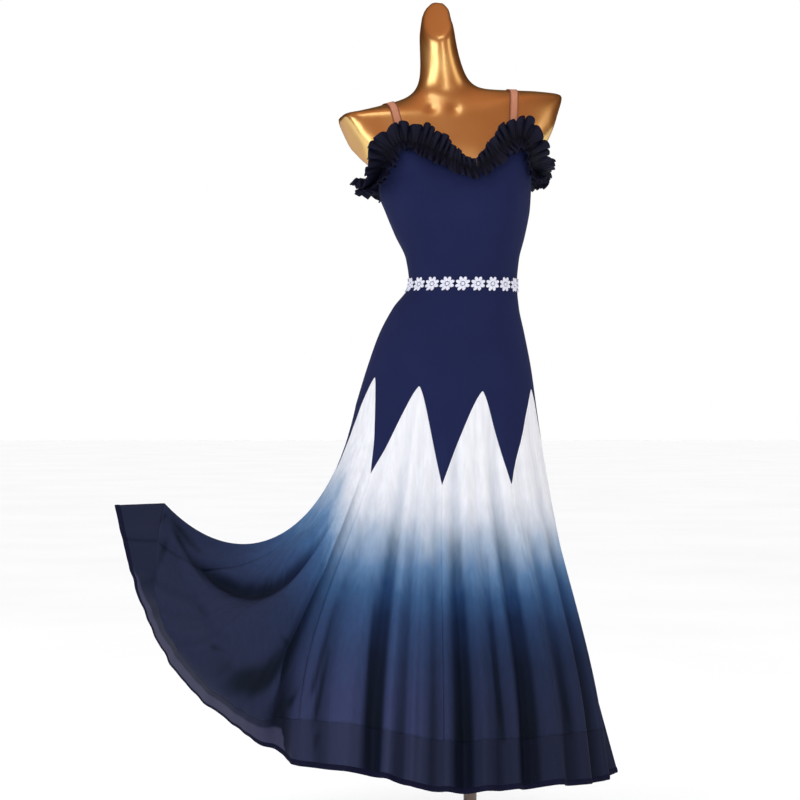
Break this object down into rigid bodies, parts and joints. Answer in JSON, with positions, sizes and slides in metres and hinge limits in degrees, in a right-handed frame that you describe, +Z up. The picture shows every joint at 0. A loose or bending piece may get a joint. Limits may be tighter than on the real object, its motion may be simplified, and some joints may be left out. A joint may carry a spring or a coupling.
{
  "type": "ballroom dance dress on a dress form",
  "caption": "Fitted navy ballroom dress with ruffled sweetheart neckline, flower trim at the waist, pointed white-to-navy gores and a side sweep, worn by a limbless gold dress form on a stand",
  "frame": {"origin": "centre of the underside of the stand's round base, on the floor", "axes": "Z points up, the dress faces -Y, and the viewer's right side of the dress is +X; the pinned sweep of the skirt reaches toward -X"},
  "size_m": [0.9536, 0.658, 1.607],
  "materials": {
    "navy_stretch": "matt navy stretch jersey",
    "dyed_chiffon": "soft light cloth dyed from white down to navy",
    "sheer_band": "stiff sheer navy crinoline band with a bound edge",
    "organza": "gathered near-black navy organza",
    "nude_elastic": "woven nude elastic",
    "white_lace": "white guipure flower trim",
    "gold_finish": "glossy gold plated surface",
    "stand_steel": "brushed steel"
  },
  "bodies": {
    "root": {"bodice_front": "navy_stretch", "bodice_back": "navy_stretch", "yoke_front": "navy_stretch", "yoke_back": "navy_stretch", "gore_1": "dyed_chiffon", "gore_2": "dyed_chiffon", "gore_3": "dyed_chiffon", "gore_4": "dyed_chiffon", "gore_5": "dyed_chiffon", "gore_6": "dyed_chiffon", "gore_7": "dyed_chiffon", "gore_8": "dyed_chiffon", "hem_band_front": "sheer_band", "hem_band_back": "sheer_band", "ruffle_left": "organza", "ruffle_right": "organza", "strap_left": "nude_elastic", "strap_right": "nude_elastic", "waist_belt": "white_lace", "form_torso": "gold_finish", "form_pole": "stand_steel", "form_base": "stand_steel"}
  },
  "joints": []
}
